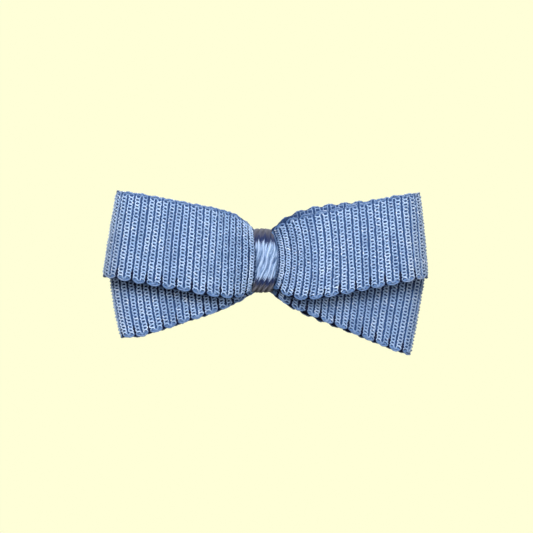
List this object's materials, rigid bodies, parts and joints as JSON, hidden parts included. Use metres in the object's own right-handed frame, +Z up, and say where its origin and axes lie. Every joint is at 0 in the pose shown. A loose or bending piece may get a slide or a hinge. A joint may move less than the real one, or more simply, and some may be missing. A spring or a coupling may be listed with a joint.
{
  "type": "hair bow",
  "caption": "Double-layer folded ribbon bow with a gathered satin centre band, tied to a toothed spring hair clip.",
  "frame": {"origin": "on the clip's closed gripping plane, straight behind the middle of the knot", "axes": "+X runs along the clip towards its thumb levers, +Y points from the bow's face towards the head, +Z is up as worn"},
  "size_m": [0.0613, 0.0223, 0.0313],
  "materials": {
    "grosgrain_ribbon": "ribbed blue ribbon with a soft sheen",
    "satin_ribbon": "pale blue satin, gathered",
    "sewing_thread": "matte polyester thread",
    "hot_melt_glue": "cloudy set glue",
    "lining_ribbon": "thin blue lining ribbon",
    "silicone": "translucent matte silicone",
    "clip_steel": "nickel-plated stamped steel",
    "pin_steel": "plain steel, peened ends",
    "spring_steel": "drawn spring wire"
  },
  "bodies": {
    "bow": {"upper_ribbon": "grosgrain_ribbon", "lower_ribbon": "grosgrain_ribbon", "centre_band": "satin_ribbon", "gather_thread": "sewing_thread", "glue_bead": "hot_melt_glue", "arm_lining": "lining_ribbon", "grip_pad": "silicone", "top_arm": "clip_steel", "hinge_pin": "pin_steel", "torsion_spring": "spring_steel"},
    "jaw": {"jaw_arm": "clip_steel"}
  },
  "joints": [
    {"name": "jaw_hinge", "type": "hinge", "parent": "bow", "child": "jaw", "pos_m": [0.0095, 0.0026, 0], "axis": [0, 0, -1], "range_deg": [0, 30], "stiffness_Nm_per_rad": 0.03, "springref_deg": -20.05, "deforming": ["torsion_spring"]}
  ]
}
